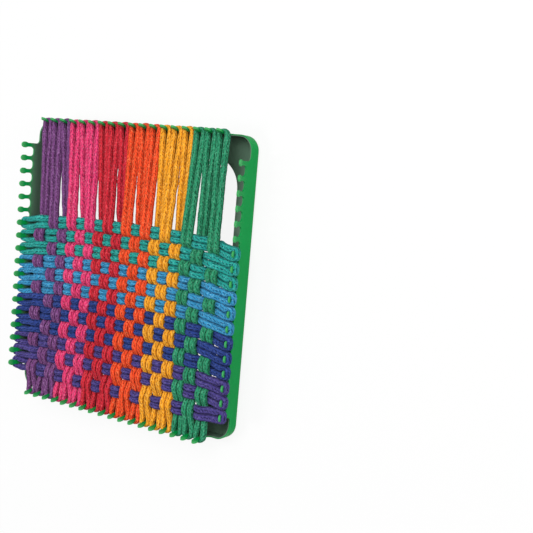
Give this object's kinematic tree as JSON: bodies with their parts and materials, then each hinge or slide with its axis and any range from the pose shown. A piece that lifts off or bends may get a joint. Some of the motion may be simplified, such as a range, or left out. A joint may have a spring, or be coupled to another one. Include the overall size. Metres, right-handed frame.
{
  "type": "potholder loom",
  "caption": "Square metal peg loom strung with bright cotton loops, partly woven into a potholder in plain weave.",
  "frame": {"origin": "centre of the flat back of the frame, on the surface that it lies on", "axes": "+Z out of the back towards the peg tips, +Y along the upright loops towards the unwoven end, +X along the cross loops"},
  "size_m": [0.2051, 0.205, 0.0237],
  "materials": {
    "frame_green": "satin powder coat",
    "cotton_purple": "knitted cotton, matt",
    "cotton_pink": "knitted cotton, matt",
    "cotton_red": "knitted cotton, matt",
    "cotton_orange": "knitted cotton, matt",
    "cotton_yellow": "knitted cotton, matt",
    "cotton_green": "knitted cotton, matt",
    "cotton_teal": "knitted cotton, matt",
    "cotton_sky_blue": "knitted cotton, matt",
    "cotton_royal_blue": "knitted cotton, matt",
    "cotton_violet": "knitted cotton, matt"
  },
  "bodies": {
    "root": {"frame_right": "frame_green", "frame_far": "frame_green", "frame_left": "frame_green", "frame_near": "frame_green", "warp_loop_01": "cotton_purple", "warp_loop_02": "cotton_purple", "warp_loop_03": "cotton_purple", "warp_loop_04": "cotton_pink", "warp_loop_05": "cotton_pink", "warp_loop_06": "cotton_pink", "warp_loop_07": "cotton_red", "warp_loop_08": "cotton_red", "warp_loop_09": "cotton_red", "warp_loop_10": "cotton_orange", "warp_loop_11": "cotton_orange", "warp_loop_12": "cotton_orange", "warp_loop_13": "cotton_yellow", "warp_loop_14": "cotton_yellow", "warp_loop_15": "cotton_yellow", "warp_loop_16": "cotton_green", "warp_loop_17": "cotton_green", "warp_loop_18": "cotton_green", "weft_loop_01": "cotton_teal", "weft_loop_02": "cotton_teal", "weft_loop_03": "cotton_teal", "weft_loop_04": "cotton_sky_blue", "weft_loop_05": "cotton_sky_blue", "weft_loop_06": "cotton_sky_blue", "weft_loop_07": "cotton_royal_blue", "weft_loop_08": "cotton_royal_blue", "weft_loop_09": "cotton_royal_blue", "weft_loop_10": "cotton_violet", "weft_loop_11": "cotton_violet", "weft_loop_12": "cotton_violet"}
  },
  "joints": []
}
